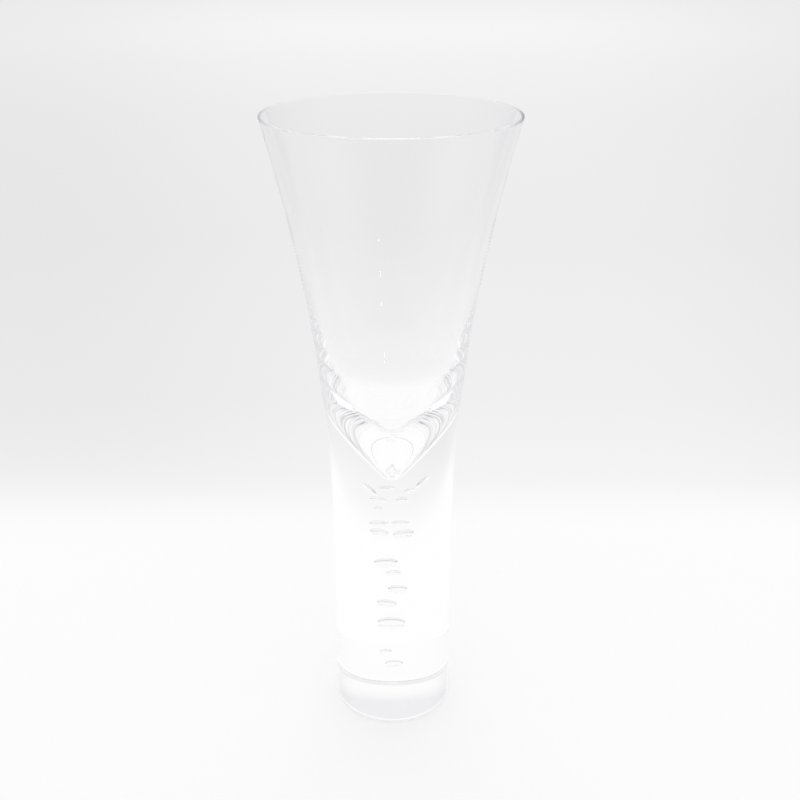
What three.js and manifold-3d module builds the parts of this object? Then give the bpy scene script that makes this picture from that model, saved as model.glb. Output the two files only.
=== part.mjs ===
// A champagne glass in clear glass: a flared bowl on a solid round stem that is also the foot,
// with a trail of air bubbles that rises through the stem to the pointed bottom of the bowl.
//
// The glass is made of three gathers, joined hot:
//   stem_core    a tapered rod, pricked all round so that each prick can hold air
//   stem_casing  the gather over the core, which shuts the pricks into bubbles, is rolled to a
//                cylinder, hollowed at its top and ground flat underneath as the foot
//   bowl         the blown shell, whose pointed underside is pressed into the stem's hollow top
//
// Millimetres, +Z up, origin at the middle of the foot's flat face. The front is towards -Y.

import * as THREE from "three";
import { mergeVertices } from "three/addons/utils/BufferGeometryUtils.js";
import Module from "manifold-3d";

// Outside
const HEIGHT = 200;
const RIM_RADIUS = 36.8;
const STEM_RADIUS = 19.4;
const FLARE_START = 67; // the stem is straight up to here and opens above it
const FOOT_EDGE = 2; // radius of the polished edge round the foot

// Inside of the bowl: a conical well, then a side wall that thins quickly above it
const LIP_WALL = 0.9;
const WELL_TIP = 88.5; // height of the lowest point inside
const WELL_TIP_RADIUS = 2; // rounding of that point
const WELL_HALF_ANGLE = 32.3; // of the cone, in degrees
const WELL_RISE = 22; // from the point where the cone would end sharp, up to its wide end

// Thickness of the side wall at shares of the way up from the well to the lip
const SIDE_WALL = [
  { at: 0.055, thick: 5.8 },
  { at: 0.1, thick: 4.8 },
  { at: 0.145, thick: 3.6 },
  { at: 0.19, thick: 3.1 },
  { at: 0.255, thick: 2.7 },
  { at: 0.4, thick: 1.6 },
  { at: 0.67, thick: 1.1 },
];

// Where the bowl sits in the stem
const WELL_FLOOR = 4.8; // glass under the well, square to its slope
const SEAT_RADIUS = 9.6; // of the stem's hollow top, at its flat ledge
const SEAM = 0.2; // parting between two gathers, which closes when they are hot

// Core of the stem
const CORE_FOOT = 13; // height of its lower end
const CORE_FOOT_RADIUS = 1.9;
const CORE_TOP_RADIUS = 5.6;

// Air pockets pricked in the core, from its foot up. Each has its place as a share of the core's
// length, its bearing (degrees, anticlockwise from +X), and its half sizes round, into and along
// the core.
const CORE_AIR = [
  { at: 0.055, bearing: 276, round: 2.1, deep: 1.2, tall: 1.9 },
  { at: 0.1, bearing: 126, round: 1.4, deep: 1, tall: 1.3 },
  { at: 0.29, bearing: 265, round: 3.2, deep: 1.7, tall: 2.5 },
  { at: 0.4, bearing: 248, round: 2.4, deep: 1.4, tall: 1.5 },
  { at: 0.44, bearing: 76, round: 1.9, deep: 1.3, tall: 1.6 },
  { at: 0.57, bearing: 273, round: 1.7, deep: 1.2, tall: 1.1 },
  { at: 0.58, bearing: 108, round: 2.3, deep: 1.4, tall: 1.9 },
  { at: 0.77, bearing: 300, round: 2.7, deep: 1.4, tall: 1.7 },
  { at: 0.778, bearing: 233, round: 2.4, deep: 1.4, tall: 1.3 },
  { at: 0.784, bearing: 121, round: 2, deep: 1.3, tall: 1.1 },
  { at: 0.787, bearing: 74, round: 1.6, deep: 1.2, tall: 0.9 },
  { at: 0.9, bearing: 232, round: 1, deep: 0.9, tall: 0.9 },
  { at: 0.948, bearing: 292, round: 1.4, deep: 1.2, tall: 1.3 },
  { at: 0.948, bearing: 236, round: 2.2, deep: 1.2, tall: 1.1 },
];

// Leaf-shaped pockets that lie on the slope of the stem's hollow top, under the bowl. Each has its
// distance from the axis, its bearing, and its half sizes down the slope, round and through.
const SEAT_AIR = [
  { radius: 4.6, bearing: 186, long: 2.9, round: 1.3, thick: 0.7 },
  { radius: 6.1, bearing: 358, long: 2.6, round: 1.2, thick: 0.7 },
  { radius: 4.9, bearing: 318, long: 1.3, round: 1.3, thick: 0.8 },
  { radius: 5.9, bearing: 251, long: 0.8, round: 1.6, thick: 0.5 },
  { radius: 4.2, bearing: 105, long: 1, round: 1.6, thick: 0.6 },
];

// Fineness of the round surfaces
const SIDES = 48;
const POCKET_SIDES = 10;
const POCKET_LAYERS = 7;
const FLARE_STEPS = 11;
const WALL_STEPS = 2; // from one given thickness of the side wall to the next
const EDGE_STEPS = 4;

const MERGE = 1e-4; // points nearer than this are one point
const DEGREE = Math.PI / 180;
const glassLook = { color: 0xf2f5f7, roughness: 0.03, metalness: 0 };

const wasm = await Module();
wasm.setup();

const { lerp, mapLinear } = THREE.MathUtils;
const point = (radius, z) => new THREE.Vector2(radius, z);
const lipHeight = HEIGHT - LIP_WALL / 2;

// Outside radius at a height: the flare is a parabola that leaves the stem upright.
function outerRadius(z) {
  const along = Math.max(0, (z - FLARE_START) / (lipHeight - FLARE_START));
  return STEM_RADIUS + (RIM_RADIUS - STEM_RADIUS) * along ** 2;
}

// The well is a cone. Its sharp tip would lie a little below WELL_TIP.
const wellAngle = WELL_HALF_ANGLE * DEGREE;
const sharpTip = WELL_TIP - WELL_TIP_RADIUS * (1 / Math.sin(wellAngle) - 1);
const wellTop = point(WELL_RISE * Math.tan(wellAngle), sharpTip + WELL_RISE);

// The side wall's thickness at heights from the well up to the lip.
const wall = [
  { z: wellTop.y, thick: outerRadius(wellTop.y) - wellTop.x },
  ...SIDE_WALL.map(({ at, thick }) => ({ z: lerp(wellTop.y, lipHeight, at), thick })),
  { z: lipHeight, thick: LIP_WALL },
];

// The stem's hollow top is a cone with the well's slope, WELL_FLOOR below it, up to a flat ledge.
const seatTip = sharpTip - WELL_FLOOR / Math.sin(wellAngle);
const seatHeight = (radius) => seatTip + radius / Math.tan(wellAngle);
const ledge = seatHeight(SEAT_RADIUS);

// The core's side is a cone that ends at the stem's hollow top.
const coreTop = seatHeight(CORE_TOP_RADIUS);
const coreRadius = (z) => mapLinear(z, CORE_FOOT, coreTop, CORE_FOOT_RADIUS, CORE_TOP_RADIUS);

// Points on the outside between two heights, both ends included.
function outsideBetween(low, high, steps) {
  return Array.from({ length: steps + 1 }, (_, i) => {
    const z = lerp(low, high, i / steps);
    return point(outerRadius(z), z);
  });
}

// Points on an arc about a middle, from one angle to another.
function arc(middle, radius, from, to) {
  return Array.from({ length: EDGE_STEPS + 1 }, (_, i) => {
    const angle = lerp(from, to, i / EDGE_STEPS);
    return point(middle.x + radius * Math.cos(angle), middle.y + radius * Math.sin(angle));
  });
}

// Stretches of an outline as one, without the points that repeat where two stretches meet.
const joined = (...stretches) =>
  stretches.flat().filter((p, i, all) => i === 0 || p.distanceTo(all[i - 1]) > MERGE);

// A closed mesh as a manifold solid. Triangles that close up on the axis are left out.
function solid(geometry) {
  geometry.deleteAttribute("normal");
  geometry.deleteAttribute("uv");
  const merged = mergeVertices(geometry, MERGE);
  const corners = merged.index.array;
  const kept = [];
  for (let i = 0; i < corners.length; i += 3) {
    const [a, b, c] = corners.slice(i, i + 3);
    if (a !== b && b !== c && c !== a) kept.push(a, b, c);
  }
  const mesh = new wasm.Mesh({
    numProp: 3,
    vertProperties: merged.attributes.position.array,
    triVerts: new Uint32Array(kept),
  });
  return new wasm.Manifold(mesh);
}

// A solid turned about the axis, from (radius, height) points given anticlockwise.
function turned(outline) {
  const geometry = new THREE.LatheGeometry(outline, SIDES);
  geometry.rotateX(Math.PI / 2);
  return solid(geometry);
}

// An ellipsoid of air, its half sizes given outwards, round and up. It is tipped so that its
// outer end rises by lean, and set at a radius, a height and a bearing.
function pocket(outwards, round, up, lean, radius, z, bearing) {
  const geometry = new THREE.SphereGeometry(1, POCKET_SIDES, POCKET_LAYERS);
  geometry.rotateX(Math.PI / 2);
  geometry.scale(outwards, round, up);
  geometry.rotateY(-lean);
  geometry.translate(radius, 0, z);
  geometry.rotateZ(bearing * DEGREE);
  return solid(geometry);
}

function coreAir({ at, bearing, round, deep, tall }) {
  const z = lerp(CORE_FOOT, coreTop, at);
  return pocket(deep, round, tall, 0, coreRadius(z), z, bearing);
}

function seatAir({ radius, bearing, long, round, thick }) {
  const lean = Math.PI / 2 - wellAngle;
  return pocket(long, round, thick, lean, radius, seatHeight(radius), bearing);
}

const air = [...CORE_AIR.map(coreAir), ...SEAT_AIR.map(seatAir)];
const withAir = (body) => air.reduce((left, bubble) => left.subtract(bubble), body);

// Points on the inside of the side wall, from the lip down to the well.
function insideWall() {
  const points = [];
  for (let i = wall.length - 1; i > 0; i -= 1) {
    for (let step = 0; step < WALL_STEPS; step += 1) {
      const z = lerp(wall[i].z, wall[i - 1].z, step / WALL_STEPS);
      const thick = lerp(wall[i].thick, wall[i - 1].thick, step / WALL_STEPS);
      points.push(point(outerRadius(z) - thick, z));
    }
  }
  return points;
}

// Anticlockwise from the tip of the underside: cone, ledge, outside, lip, inside wall and well.
function bowl() {
  const lip = point(RIM_RADIUS - LIP_WALL / 2, lipHeight);
  const tip = arc(point(0, WELL_TIP + WELL_TIP_RADIUS), WELL_TIP_RADIUS, -wellAngle, -Math.PI / 2);
  return joined(
    [point(0, seatTip + SEAM), point(SEAT_RADIUS, ledge + SEAM)],
    outsideBetween(ledge + SEAM, lipHeight, FLARE_STEPS),
    arc(lip, LIP_WALL / 2, 0, Math.PI),
    insideWall(),
    [wellTop],
    tip,
  );
}

// Foot, outside, ledge, hollow top, and the blind bore that holds the core.
function stemCasing() {
  const edge = point(STEM_RADIUS - FOOT_EDGE, FOOT_EDGE);
  const bore = CORE_TOP_RADIUS + SEAM;
  const flareLow = Math.min(FLARE_START, ledge);
  return joined(
    [point(0, 0)],
    arc(edge, FOOT_EDGE, -Math.PI / 2, 0),
    outsideBetween(flareLow, ledge, EDGE_STEPS),
    [point(SEAT_RADIUS, ledge), point(bore, seatHeight(bore))],
    [point(CORE_FOOT_RADIUS + SEAM, CORE_FOOT - SEAM), point(0, CORE_FOOT - SEAM)],
  );
}

// A tapered rod whose hollow top carries on the stem's.
const stemCore = () => [
  point(0, CORE_FOOT),
  point(CORE_FOOT_RADIUS, CORE_FOOT),
  point(CORE_TOP_RADIUS, coreTop),
  point(0, seatTip),
];

// A gather as a named mesh, turned from its outline and with the air pockets cut into it.
function gather(name, outline) {
  const { vertProperties, triVerts } = withAir(turned(outline)).getMesh();
  const geometry = new THREE.BufferGeometry();
  geometry.setAttribute("position", new THREE.BufferAttribute(vertProperties, 3));
  geometry.setIndex(new THREE.BufferAttribute(triVerts, 1));
  geometry.computeVertexNormals();
  const mesh = new THREE.Mesh(geometry, new THREE.MeshStandardMaterial(glassLook));
  mesh.name = name;
  return mesh;
}

const glass = new THREE.Group();
glass.add(gather("stem_core", stemCore()));
glass.add(gather("stem_casing", stemCasing()));
glass.add(gather("bowl", bowl()));

export default glass;
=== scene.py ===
# A champagne glass in clear glass, on a plain pale floor. Lengths are in metres, +Z is up, the
# origin is the middle of the foot, and the front of the glass is towards -Y.

import math

import bmesh
import bpy
from mathutils import Matrix, Vector


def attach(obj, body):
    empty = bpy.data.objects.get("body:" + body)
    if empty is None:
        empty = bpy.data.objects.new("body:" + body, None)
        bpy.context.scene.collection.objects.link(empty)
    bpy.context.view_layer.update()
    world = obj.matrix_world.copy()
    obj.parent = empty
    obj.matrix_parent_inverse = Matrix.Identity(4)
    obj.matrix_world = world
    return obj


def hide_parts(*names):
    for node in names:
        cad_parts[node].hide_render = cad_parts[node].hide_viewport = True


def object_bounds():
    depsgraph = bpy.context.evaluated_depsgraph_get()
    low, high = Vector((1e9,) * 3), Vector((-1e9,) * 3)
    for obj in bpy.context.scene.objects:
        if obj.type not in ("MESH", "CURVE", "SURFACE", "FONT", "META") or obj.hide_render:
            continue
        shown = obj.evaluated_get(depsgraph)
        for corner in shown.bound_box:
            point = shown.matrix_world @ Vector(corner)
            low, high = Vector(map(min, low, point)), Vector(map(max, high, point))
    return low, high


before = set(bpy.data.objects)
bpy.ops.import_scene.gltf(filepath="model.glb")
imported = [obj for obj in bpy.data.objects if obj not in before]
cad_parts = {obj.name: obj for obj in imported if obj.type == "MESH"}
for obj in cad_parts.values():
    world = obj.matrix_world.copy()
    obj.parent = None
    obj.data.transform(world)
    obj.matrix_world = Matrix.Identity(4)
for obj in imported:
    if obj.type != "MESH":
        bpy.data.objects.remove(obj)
cad_low, cad_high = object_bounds()

# The camera looks down on the glass from a little above its lip, 30 cm in front of the axis. It
# stands a touch to the right, which puts the axis a touch left of the middle of the picture.
CAMERA_PLACE = (0.00247, -0.2969, 0.2501)
CAMERA_TILT = math.radians(24.89)
CAMERA_LENS = 47.23
SENSOR_WIDTH = 36
NEAREST_SEEN = 0.01

camera_data = bpy.data.cameras.new("camera")
camera_data.sensor_width = SENSOR_WIDTH
camera_data.lens = CAMERA_LENS
camera_data.clip_start = NEAREST_SEEN
camera = bpy.data.objects.new("camera", camera_data)
camera.location = CAMERA_PLACE
camera.rotation_euler = (math.pi / 2 - CAMERA_TILT, 0, 0)
bpy.context.scene.collection.objects.link(camera)
bpy.context.scene.camera = camera

# The outside of the glass is one unbroken surface, because the bowl was joined to the stem while
# both were soft. The stem is rolled to a cylinder and opens above FLARE_START as a parabola, up to
# a lip that was melted round in the flame. The foot is the stem's own end, ground flat.
HEIGHT = cad_high.z
RIM_RADIUS = (cad_high.x - cad_low.x) / 2
STEM_RADIUS = 0.0194
FLARE_START = 0.067
FOOT_EDGE = 0.002
LIP_WALL = 0.0009
LIP_HEIGHT = HEIGHT - LIP_WALL / 2
FOOT_RINGS = (0.0, 0.35, 0.7, 0.9)  # shares of the radius of the foot's flat
FLAT_BORDER = 0.0002
FOOT_EDGE_STEPS = 12
OUTSIDE_STEPS = 50
LIP_STEPS = 16
LIP_CROWDING = 1.7


def outer_radius(z):
    along = max(0.0, (z - FLARE_START) / (LIP_HEIGHT - FLARE_START))
    return STEM_RADIUS + (RIM_RADIUS - STEM_RADIUS) * along**2


def evenly(low, high, steps):
    return [low + (high - low) * i / steps for i in range(steps + 1)]


def from_lip(low, steps):
    """Heights from the lip down to a low one, in steps that grow on the way."""
    fall = LIP_HEIGHT - low
    return [LIP_HEIGHT - fall * share**LIP_CROWDING for share in evenly(0, 1, steps)]


def arc(middle, radius, start, end, steps):
    """Points (radius, height) on an arc about a middle, from one angle to another."""
    turn = evenly(start, end, steps)
    return [(middle[0] + radius * math.cos(a), middle[1] + radius * math.sin(a)) for a in turn]


# A ring on each side of the rounded edge of the foot keeps the smooth shading off the flats.
flat_radius = STEM_RADIUS - FOOT_EDGE
foot = [(flat_radius * share, 0.0) for share in FOOT_RINGS]
foot.append((flat_radius - FLAT_BORDER, 0.0))
foot += arc((flat_radius, FOOT_EDGE), FOOT_EDGE, -math.pi / 2, 0, FOOT_EDGE_STEPS)
wall_foot = FOOT_EDGE + FLAT_BORDER
outside = [(outer_radius(z), z) for z in reversed(from_lip(wall_foot, OUTSIDE_STEPS))]
lip = arc((RIM_RADIUS - LIP_WALL / 2, LIP_HEIGHT), LIP_WALL / 2, 0, math.pi, LIP_STEPS)

# The bowl was blown: its side wall thickens from the lip down to the heel. The bottom was opened
# with a pointed tool while soft, which left a conical well that meets the wall in a soft corner.
WELL_HALF_ANGLE = math.radians(32.3)
WELL_SHARP_TIP = 0.08676
WELL_TIP_RADIUS = 0.002
SIDE_WALL = (  # height, thickness
    (0.1100, 0.0066),
    (0.126, 0.0033),
    (0.132, 0.0026),
    (0.145, 0.0016),
    (0.170, 0.0011),
    (HEIGHT, LIP_WALL),
)
CORNER_ABOVE = 0.007
CORNER_BELOW = 0.008
CORNER_TRIES = 20
INSIDE_STEPS = 80
CORNER_STEPS = 24
WELL_STEPS = 20
TIP_STEPS = 8


def wall_slope(i):
    """How fast the wall thickens at a station, taken from the stations on both sides of it."""
    below = SIDE_WALL[max(i - 1, 0)]
    above = SIDE_WALL[min(i + 1, len(SIDE_WALL) - 1)]
    return (above[1] - below[1]) / (above[0] - below[0])


def wall(z):
    """The wall's thickness at a height, as a smooth curve through the stations."""
    i = 0
    while i < len(SIDE_WALL) - 2 and z > SIDE_WALL[i + 1][0]:
        i += 1
    below, above = SIDE_WALL[i], SIDE_WALL[i + 1]
    span = above[0] - below[0]
    t = (z - below[0]) / span
    share = t * t * (3 - 2 * t)
    bend = t * (1 - t) ** 2 * span * wall_slope(i) - t * t * (1 - t) * span * wall_slope(i + 1)
    return below[1] * (1 - share) + above[1] * share + bend


def inner_radius(z):
    return outer_radius(z) - wall(z)


def well_height(radius):
    return WELL_SHARP_TIP + radius / math.tan(WELL_HALF_ANGLE)


corner = SIDE_WALL[0][0]
for _ in range(CORNER_TRIES):
    corner = well_height(inner_radius(corner))
corner_top = Vector((inner_radius(corner + CORNER_ABOVE), corner + CORNER_ABOVE))
corner_point = Vector((inner_radius(corner), corner))
corner_foot = corner_point - Vector((math.tan(WELL_HALF_ANGLE), 1)) * CORNER_BELOW
inside = [(inner_radius(z), z) for z in from_lip(corner_top.y, INSIDE_STEPS)]
for t in evenly(0, 1, CORNER_STEPS):
    spot = corner_top * (1 - t) ** 2 + corner_point * 2 * t * (1 - t) + corner_foot * t**2
    inside.append(tuple(spot))
tip_edge = WELL_TIP_RADIUS * math.cos(WELL_HALF_ANGLE)
inside += [(radius, well_height(radius)) for radius in evenly(corner_foot.x, tip_edge, WELL_STEPS)]
tip_middle = WELL_SHARP_TIP + WELL_TIP_RADIUS / math.sin(WELL_HALF_ANGLE)
inside += arc((0, tip_middle), WELL_TIP_RADIUS, -WELL_HALF_ANGLE, -math.pi / 2, TIP_STEPS)

# The core of the stem, a tapered rod, was pricked all round before the clear glass was gathered
# over it, and each prick closed on a rounded bubble. More air is caught under the bowl, in small
# leaves that lie on the slope of the stem's hollow top. Bearings are anticlockwise from +X.
MM = 0.001
CORE_FOOT = 0.013
CORE_FOOT_RADIUS = 0.0019
CORE_TOP_RADIUS = 0.0056
WELL_FLOOR = 0.0048
CORE_AIR = (  # height, bearing, half sizes round, into and along the core
    (17.1, 276, (2.1, 1.2, 1.9)),
    (20.5, 126, (1.4, 1.0, 1.3)),
    (34.5, 265, (3.2, 1.7, 2.5)),
    (42.6, 248, (2.4, 1.4, 1.5)),
    (45.4, 76, (1.9, 1.3, 1.6)),
    (54.9, 273, (1.7, 1.2, 1.1)),
    (55.6, 108, (2.3, 1.4, 1.9)),
    (69.7, 300, (2.7, 1.4, 1.7)),
    (70.3, 233, (2.4, 1.4, 1.3)),
    (70.7, 121, (2.0, 1.3, 1.1)),
    (70.9, 74, (1.6, 1.2, 0.9)),
    (79.3, 232, (1.0, 0.9, 0.9)),
    (82.8, 292, (1.4, 1.2, 1.3)),
    (82.8, 236, (2.2, 1.2, 1.1)),
)
SEAT_AIR = (  # radius, bearing, half sizes down the slope, round and through
    (4.6, 186, (2.9, 1.3, 0.7)),
    (6.1, 358, (2.6, 1.2, 0.7)),
    (4.9, 318, (1.3, 1.3, 0.8)),
    (5.9, 251, (0.8, 1.6, 0.5)),
    (4.2, 105, (1.0, 1.6, 0.6)),
)
GLASS_SIDES = 384
BUBBLE_ROUNDNESS = 4
SAME_SPOT = 0.000001

seat_tip = WELL_SHARP_TIP - WELL_FLOOR / math.sin(WELL_HALF_ANGLE)


def seat_height(radius):
    return seat_tip + radius / math.tan(WELL_HALF_ANGLE)


def core_radius(z):
    along = (z - CORE_FOOT) / (seat_height(CORE_TOP_RADIUS) - CORE_FOOT)
    return CORE_FOOT_RADIUS + (CORE_TOP_RADIUS - CORE_FOOT_RADIUS) * along


def add_turned(mesh, outline, sides):
    """Turns an outline that starts and ends on the axis into a closed surface."""
    rings = []
    for radius, z in outline:
        turn = evenly(0, math.tau, sides)[:-1]
        if radius < SAME_SPOT:
            turn = [0]
        rings.append([mesh.verts.new((radius * math.cos(a), radius * math.sin(a), z)) for a in turn])
    for below, above in zip(rings, rings[1:]):
        for i in range(sides):
            j = (i + 1) % sides
            corners = (
                below[i % len(below)],
                below[j % len(below)],
                above[j % len(above)],
                above[i % len(above)],
            )
            mesh.faces.new(list(dict.fromkeys(corners)))


def without_repeats(outline):
    kept = outline[:1]
    for spot in outline[1:]:
        if math.dist(spot, kept[-1]) > SAME_SPOT:
            kept.append(spot)
    return kept


def add_bubble(mesh, half_sizes, lean, radius, z, bearing):
    """A closed pocket of air, so its faces look inwards, away from the glass."""
    place = Matrix.Rotation(math.radians(bearing), 4, "Z") @ Matrix.Translation((radius, 0, z))
    place = place @ Matrix.Rotation(-lean, 4, "Y") @ Matrix.Diagonal((*half_sizes, 1))
    ball = bmesh.ops.create_icosphere(mesh, subdivisions=BUBBLE_ROUNDNESS, radius=1, matrix=place)
    faces = {face for vert in ball["verts"] for face in vert.link_faces}
    bmesh.ops.reverse_faces(mesh, faces=list(faces))


glass_mesh = bmesh.new()
add_turned(glass_mesh, without_repeats(foot + outside + lip + inside), GLASS_SIDES)
for height, bearing, (round_core, into_core, along_core) in CORE_AIR:
    z = height * MM
    half_sizes = (into_core * MM, round_core * MM, along_core * MM)
    add_bubble(glass_mesh, half_sizes, 0, core_radius(z), z, bearing)
for from_axis, bearing, slope_sizes in SEAT_AIR:
    radius = from_axis * MM
    half_sizes = [size * MM for size in slope_sizes]
    lean = math.pi / 2 - WELL_HALF_ANGLE
    add_bubble(glass_mesh, half_sizes, lean, radius, seat_height(radius), bearing)
for face in glass_mesh.faces:
    face.smooth = True
glass_data = bpy.data.meshes.new("glass")
glass_mesh.to_mesh(glass_data)
glass_mesh.free()
glass = bpy.data.objects.new("glass", glass_data)
bpy.context.scene.collection.objects.link(glass)

# The glass is clear, with a trace of violet, and its surface keeps the faint waves of hand work.
# The waves come from a soft noise, a few thousandths of a millimetre deep.
GLASS_TINT = (0.998, 0.9965, 0.9995, 1)
GLASS_IOR = 1.5
WAVE_SCALE = 45
WAVE_DETAIL = 1
WAVE_ROUGHNESS = 0.4
WAVE_DEPTH = 0.000004


def node(tree, kind, **settings):
    made = tree.nodes.new(kind)
    for name, value in settings.items():
        setattr(made, name, value)
    return made


clear_glass = bpy.data.materials.new("clear_glass")
clear_glass.use_nodes = True
tree = clear_glass.node_tree
shader = tree.nodes["Principled BSDF"]
shader.inputs["Base Color"].default_value = GLASS_TINT
shader.inputs["Roughness"].default_value = 0.0
shader.inputs["IOR"].default_value = GLASS_IOR
shader.inputs["Transmission Weight"].default_value = 1.0
place = node(tree, "ShaderNodeTexCoord")
waves = node(tree, "ShaderNodeTexNoise")
waves.inputs["Scale"].default_value = WAVE_SCALE
waves.inputs["Detail"].default_value = WAVE_DETAIL
waves.inputs["Roughness"].default_value = WAVE_ROUGHNESS
tree.links.new(place.outputs["Object"], waves.inputs["Vector"])
bump = node(tree, "ShaderNodeBump")
bump.inputs["Strength"].default_value = 1
bump.inputs["Distance"].default_value = WAVE_DEPTH
tree.links.new(waves.outputs["Fac"], bump.inputs["Height"])
tree.links.new(bump.outputs["Normal"], shader.inputs["Normal"])
glass_data.materials.append(clear_glass)
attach(glass, "root")
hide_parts("bowl", "stem_casing", "stem_core")

# The floor is a sheet of white paper that reaches far behind. The light pooling round the glass
# is painted into its colour: painted shade greys it behind the glass, to the sides and on the side
# of the camera. Camera rays see mostly this painted tone; the rest is lit, so the shadow stays.
FLOOR_RADIUS = 6.0
FLOOR_SIDES = 96
FLOOR_DROP = 0.0002
# Painted light: these tones fall off as the light would behind the glass, and lighten again far off.
PAINTED_FLOOR_TONES = (  # distance behind the glass, tone
    (-0.30, 1.0),
    (0.113, 1.0),
    (0.150, 0.928),
    (0.242, 0.884),
    (0.563, 0.848),
    (1.130, 0.848),
    (1.755, 0.868),
    (2.870, 0.934),
)
FLOOR_GLOW = 0.72
# Painted shade at the sides of the paper.
PAINTED_SIDE_TONE = 0.7
SIDE_SPAN = (0.12, 0.9)
SIDE_SPREAD = 0.38
# A painted pool of light behind the glass, with painted shade outside it.
POOL_MIDDLE = 0.07
POOL_NEAR = 0.45
POOL_SPAN = (0.08, 0.38)
PAINTED_POOL_FALL = 0.06
POOL_START = (0.08, 0.2)
# Painted shade on the near side of the paper.
PAINTED_FRONT_SHADE = 0.45
FRONT_SPAN = (-0.30, -0.15)
FRONT_MIDDLE = 0.035
FRONT_WIDTH = (0.08, 0.35)
FRONT_SIDE_SHARE = 0.5


def arithmetic(tree, operation, first, second=0.0):
    made = node(tree, "ShaderNodeMath", operation=operation)
    for socket, value in zip(made.inputs, (first, second)):
        if isinstance(value, bpy.types.NodeSocket):
            tree.links.new(value, socket)
        else:
            socket.default_value = value
    return made.outputs[0]


def ramp(tree, value, span, results):
    """A smooth run from one result to the other while the value crosses the span."""
    made = node(tree, "ShaderNodeMapRange", interpolation_type="SMOOTHSTEP")
    tree.links.new(value, made.inputs["Value"])
    for name, number in zip(("From Min", "From Max", "To Min", "To Max"), (*span, *results)):
        made.inputs[name].default_value = number
    return made.outputs["Result"]


def stops(tree, value, tones):
    """Tones, each one grey level or three levels, with a straight run from stop to stop."""
    low, high = tones[0][0], tones[-1][0]
    share = node(tree, "ShaderNodeMapRange")
    tree.links.new(value, share.inputs["Value"])
    share.inputs["From Min"].default_value = low
    share.inputs["From Max"].default_value = high
    made = node(tree, "ShaderNodeValToRGB")
    elements = made.color_ramp.elements
    for spot, _ in tones[1:-1]:
        elements.new((spot - low) / (high - low))
    for element, (_, tone) in zip(elements, tones):
        levels = tone if isinstance(tone, tuple) else (tone, tone, tone)
        element.color = (*levels, 1)
    tree.links.new(share.outputs["Result"], made.inputs["Fac"])
    return made.outputs["Color"]


def dimmed(tree, colour, share):
    """The colour with a share of it taken away."""
    made = node(tree, "ShaderNodeVectorMath", operation="MULTIPLY")
    tree.links.new(colour, made.inputs[0])
    tree.links.new(arithmetic(tree, "SUBTRACT", 1.0, share), made.inputs[1])
    return made.outputs[0]


floor_data = bpy.data.meshes.new("floor")
floor_mesh = bmesh.new()
bmesh.ops.create_circle(floor_mesh, cap_ends=True, segments=FLOOR_SIDES, radius=FLOOR_RADIUS)
floor_mesh.to_mesh(floor_data)
floor_mesh.free()
floor = bpy.data.objects.new("floor", floor_data)
floor.location = (0, 0, -FLOOR_DROP)
bpy.context.scene.collection.objects.link(floor)
paper = bpy.data.materials.new("paper")
paper.use_nodes = True
tree = paper.node_tree
shader = tree.nodes["Principled BSDF"]
shader.inputs["Roughness"].default_value = 1
shader.inputs["Specular IOR Level"].default_value = 0
place = node(tree, "ShaderNodeTexCoord")
split = node(tree, "ShaderNodeSeparateXYZ")
tree.links.new(place.outputs["Object"], split.inputs[0])
across, behind, _ = split.outputs
# The tone begins as the painted fall-off of light with the distance behind the glass.
tone = stops(tree, behind, PAINTED_FLOOR_TONES)

# Painted shade: the sides go grey, later and later with the distance behind the glass.
aside = arithmetic(tree, "ABSOLUTE", across)
spread = arithmetic(tree, "MULTIPLY", arithmetic(tree, "MAXIMUM", behind, 0.0), SIDE_SPREAD)
aside = arithmetic(tree, "SUBTRACT", aside, spread)
tone = dimmed(tree, tone, ramp(tree, aside, SIDE_SPAN, (0, 1 - PAINTED_SIDE_TONE)))

# Painted light: the pool behind the glass lies a little to the right and widens with the distance.
off_pool = arithmetic(tree, "ABSOLUTE", arithmetic(tree, "SUBTRACT", across, POOL_MIDDLE))
off_pool = arithmetic(tree, "DIVIDE", off_pool, arithmetic(tree, "ADD", behind, POOL_NEAR))
fall = ramp(tree, behind, POOL_START, (0, PAINTED_POOL_FALL))
fall = arithmetic(tree, "MULTIPLY", ramp(tree, off_pool, POOL_SPAN, (0, 1)), fall)
tone = dimmed(tree, tone, fall)

# Painted shade stands for whoever takes the photograph shading the paper on the near side.
off_centre = arithmetic(tree, "ABSOLUTE", arithmetic(tree, "SUBTRACT", across, FRONT_MIDDLE))
shade = ramp(tree, behind, FRONT_SPAN, (PAINTED_FRONT_SHADE, 0))
middle_share = ramp(tree, off_centre, FRONT_WIDTH, (1, FRONT_SIDE_SHARE))
tone = dimmed(tree, tone, arithmetic(tree, "MULTIPLY", shade, middle_share))
# The painted tone, its painted light and shade included, is both the paper's colour and its glow.
tree.links.new(tone, shader.inputs["Base Color"])
glow = node(tree, "ShaderNodeEmission")
tree.links.new(tone, glow.inputs["Color"])
rays = node(tree, "ShaderNodeLightPath")
seen = arithmetic(tree, "MULTIPLY", rays.outputs["Is Camera Ray"], FLOOR_GLOW)
seen = arithmetic(tree, "MAXIMUM", seen, rays.outputs["Is Glossy Ray"])
seen = arithmetic(tree, "MAXIMUM", seen, rays.outputs["Is Transmission Ray"])
both = node(tree, "ShaderNodeMixShader")
tree.links.new(seen, both.inputs["Fac"])
tree.links.new(shader.outputs[0], both.inputs[1])
tree.links.new(glow.outputs[0], both.inputs[2])
tree.links.new(both.outputs[0], tree.nodes["Material Output"].inputs["Surface"])
floor_data.materials.append(paper)

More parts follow.
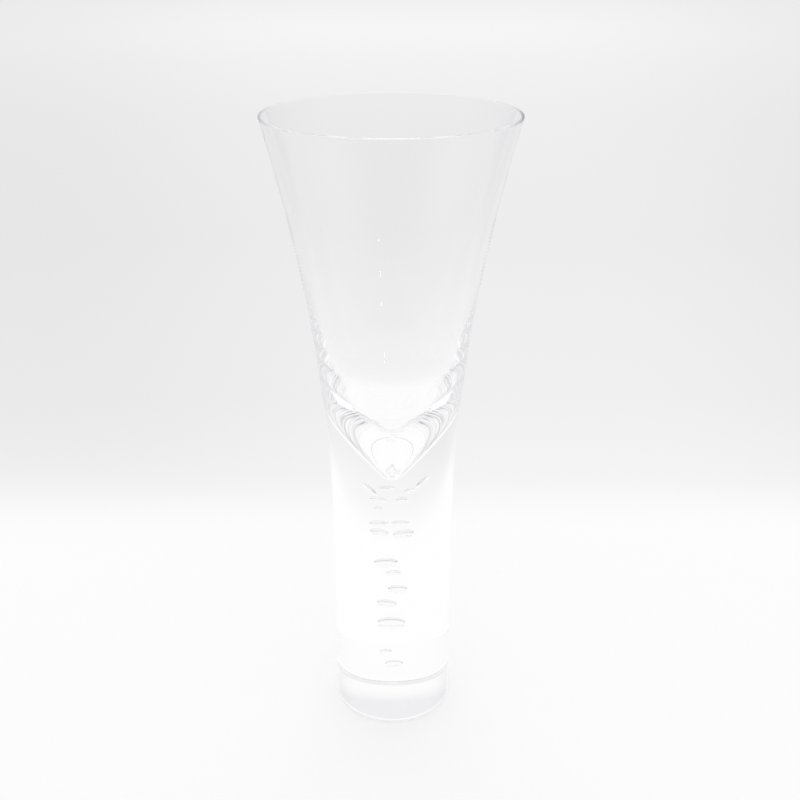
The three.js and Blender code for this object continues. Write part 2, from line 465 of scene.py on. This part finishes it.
# The room is violet-grey near the floor, white from 24 to 40 degrees up, and greyer above that. It
# is dimmer at the sides, most of all at the one from which the photograph was taken. Its low part
# gives the glass its violet-grey edges. The floor gets one plain level of light from the room.
CEILING_TONE = (0.87, 0.87, 0.885)
ROOM_TONES = (  # height as the sine of the angle above the floor, tone
    (0.0, (0.56, 0.54, 0.61)),
    (0.22, (0.72, 0.70, 0.76)),
    (0.40, 1.0),
    (0.640, 1.0),
    (0.642, CEILING_TONE),
    (0.75, CEILING_TONE),
    (1.0, 1.0),
)
WHITE_TOP_LEAN = 0.0135  # how much higher the white part reaches behind the glass
SIDE_STRENGTH = 0.92
CAMERA_SIDE_STRENGTH = 0.76
CAMERA_SIDE_SPAN = (-0.85, -0.2)
FAR_SIDE_SPAN = (0.2, 0.85)
OVERHEAD_SPAN = (0.8, 0.95)
PLAIN_LIGHT = 0.8

world = bpy.data.worlds.new("studio")
bpy.context.scene.world = world
world.use_nodes = True
tree = world.node_tree
place = node(tree, "ShaderNodeTexCoord")
split = node(tree, "ShaderNodeSeparateXYZ")
tree.links.new(place.outputs["Generated"], split.inputs[0])
_, away, up = split.outputs
flat = arithmetic(tree, "SUBTRACT", 1.0, arithmetic(tree, "MULTIPLY", up, up))
heading = arithmetic(tree, "DIVIDE", away, arithmetic(tree, "SQRT", flat))
leaning = arithmetic(tree, "SUBTRACT", up, arithmetic(tree, "MULTIPLY", away, WHITE_TOP_LEAN))
room = stops(tree, leaning, ROOM_TONES)
near_half = ramp(tree, heading, CAMERA_SIDE_SPAN, (CAMERA_SIDE_STRENGTH, SIDE_STRENGTH))
far_half = ramp(tree, heading, FAR_SIDE_SPAN, (0, 1 - SIDE_STRENGTH))
strength = arithmetic(tree, "ADD", near_half, far_half)
strength = arithmetic(tree, "MAXIMUM", strength, ramp(tree, up, OVERHEAD_SPAN, (0, 1)))
look = node(tree, "ShaderNodeBackground")
tree.links.new(room, look.inputs["Color"])
tree.links.new(strength, look.inputs["Strength"])
light = tree.nodes["Background"]
light.inputs["Color"].default_value = (1, 1, 1, 1)
light.inputs["Strength"].default_value = PLAIN_LIGHT
rays = node(tree, "ShaderNodeLightPath")
seen = arithmetic(tree, "MAXIMUM", rays.outputs["Is Camera Ray"], rays.outputs["Is Glossy Ray"])
seen = arithmetic(tree, "MAXIMUM", seen, rays.outputs["Is Transmission Ray"])
both = node(tree, "ShaderNodeMixShader")
tree.links.new(seen, both.inputs["Fac"])
tree.links.new(light.outputs[0], both.inputs[1])
tree.links.new(look.outputs[0], both.inputs[2])
tree.links.new(both.outputs[0], tree.nodes["World Output"].inputs["Surface"])

# A broad soft lamp stands behind the glass and throws its shadow towards the camera. A small lamp
# beside the camera gives the glass its few sharp highlights.
LAMPS = (  # name, place, size, power, whether the glass shows it
    ("back_lamp", (0, 1.6, 1.6), 3.0, 14.0, False),
    ("small_lamp", (0.44, -1.43, 0.2), 0.03, 0.09, True),
)

for name, place, size, power, shown in LAMPS:
    lamp_data = bpy.data.lights.new(name, "AREA")
    lamp_data.shape = "DISK"
    lamp_data.size = size
    lamp_data.energy = power
    lamp = bpy.data.objects.new(name, lamp_data)
    lamp.location = place
    lamp.rotation_euler = Vector(place).to_track_quat("Z", "Y").to_euler()
    lamp.visible_glossy = shown
    lamp.visible_transmission = shown
    bpy.context.scene.collection.objects.link(lamp)

# A path of light can take hundreds of turns inside the lip before it comes out again, and a low
# limit would leave dark spots there.
MOST_TURNS = 1000

bpy.context.scene.view_settings.view_transform = "Standard"
bpy.context.scene.cycles.max_bounces = MOST_TURNS
bpy.context.scene.cycles.transmission_bounces = MOST_TURNS
bpy.context.scene.cycles.glossy_bounces = MOST_TURNS
